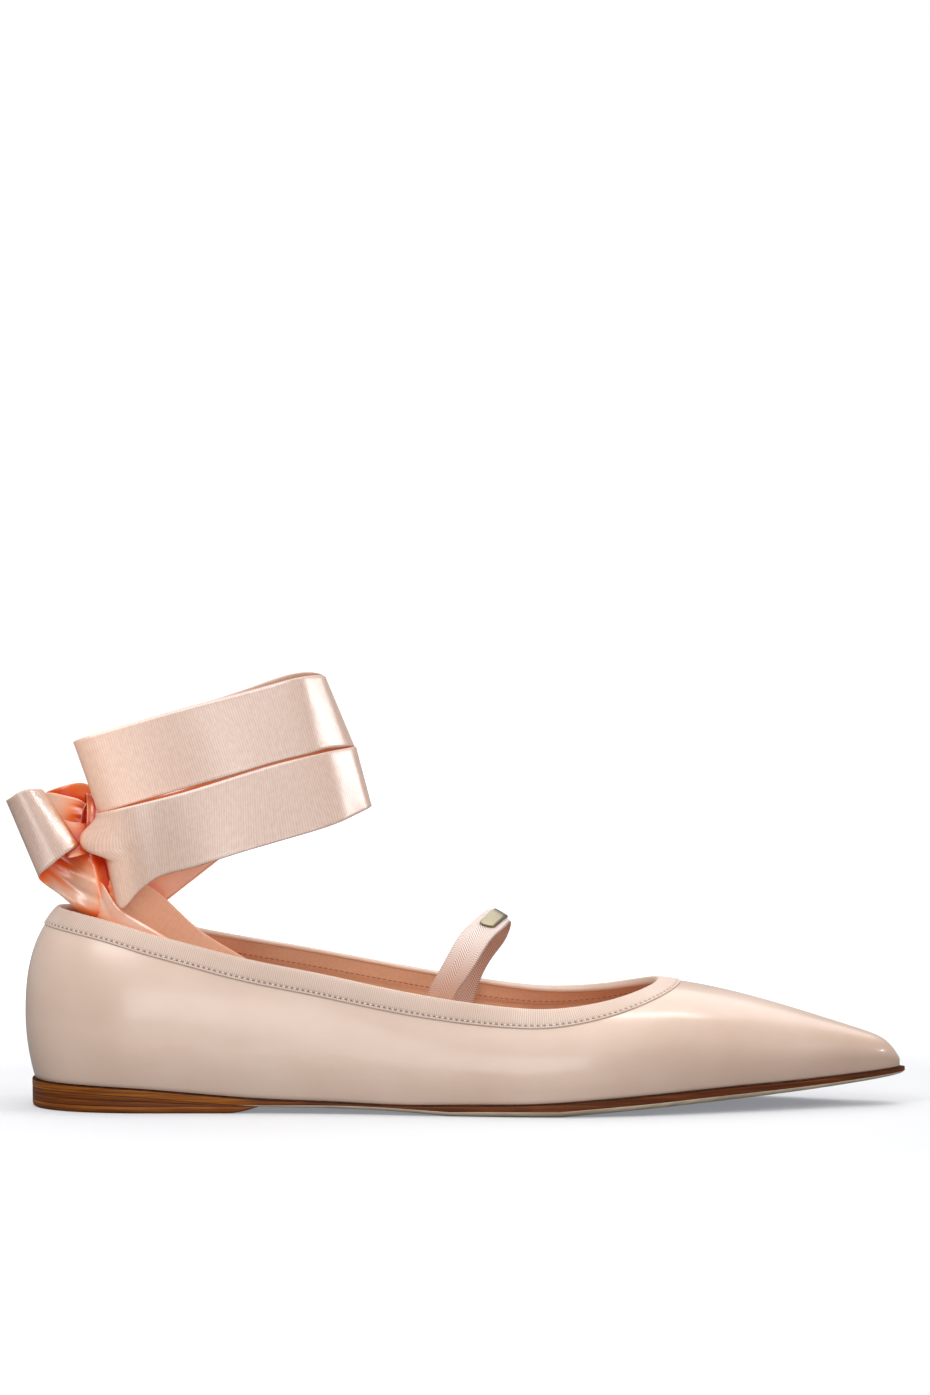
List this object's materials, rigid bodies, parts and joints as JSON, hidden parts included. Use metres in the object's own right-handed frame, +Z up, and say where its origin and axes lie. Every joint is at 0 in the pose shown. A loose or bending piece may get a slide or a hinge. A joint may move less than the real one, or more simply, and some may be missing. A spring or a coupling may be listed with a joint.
{
  "type": "ballet flat",
  "caption": "Pointed leather ballet flat with bound topline, instep elastic and ribbon ankle tie; worn on the right foot.",
  "frame": {"origin": "on the floor under the middle of the heel's flat", "axes": "+X towards the toe, +Y towards the medial side of this right shoe, +Z up"},
  "size_m": [0.2687, 0.0751, 0.1293],
  "materials": {
    "upper_leather": "smooth nude-pink calf, soft gloss",
    "sole_leather": "waxed brown sole leather with a dark edge",
    "stack_leather": "stacked dark brown leather, burnished",
    "sock_leather": "matte tan lining leather",
    "binding_tape": "ribbed grosgrain tape, matte with a faint sheen",
    "strap_elastic": "woven herringbone elastic, matte",
    "ribbon_satin": "ribbed satin ribbon, glossy at its bends",
    "bar_metal": "pale gold plating, satin polish"
  },
  "bodies": {
    "root": {"upper": "upper_leather", "outsole": "sole_leather", "heel_lift": "stack_leather", "top_piece": "stack_leather", "insole": "sock_leather", "topline_binding": "binding_tape", "instep_strap": "strap_elastic", "strap_bar": "bar_metal", "riser_lateral": "ribbon_satin", "riser_medial": "ribbon_satin", "wrap_lower": "ribbon_satin", "wrap_upper": "ribbon_satin", "knot": "ribbon_satin", "bow_loop_lateral": "ribbon_satin", "bow_loop_medial": "ribbon_satin", "bow_end": "ribbon_satin"}
  },
  "joints": []
}
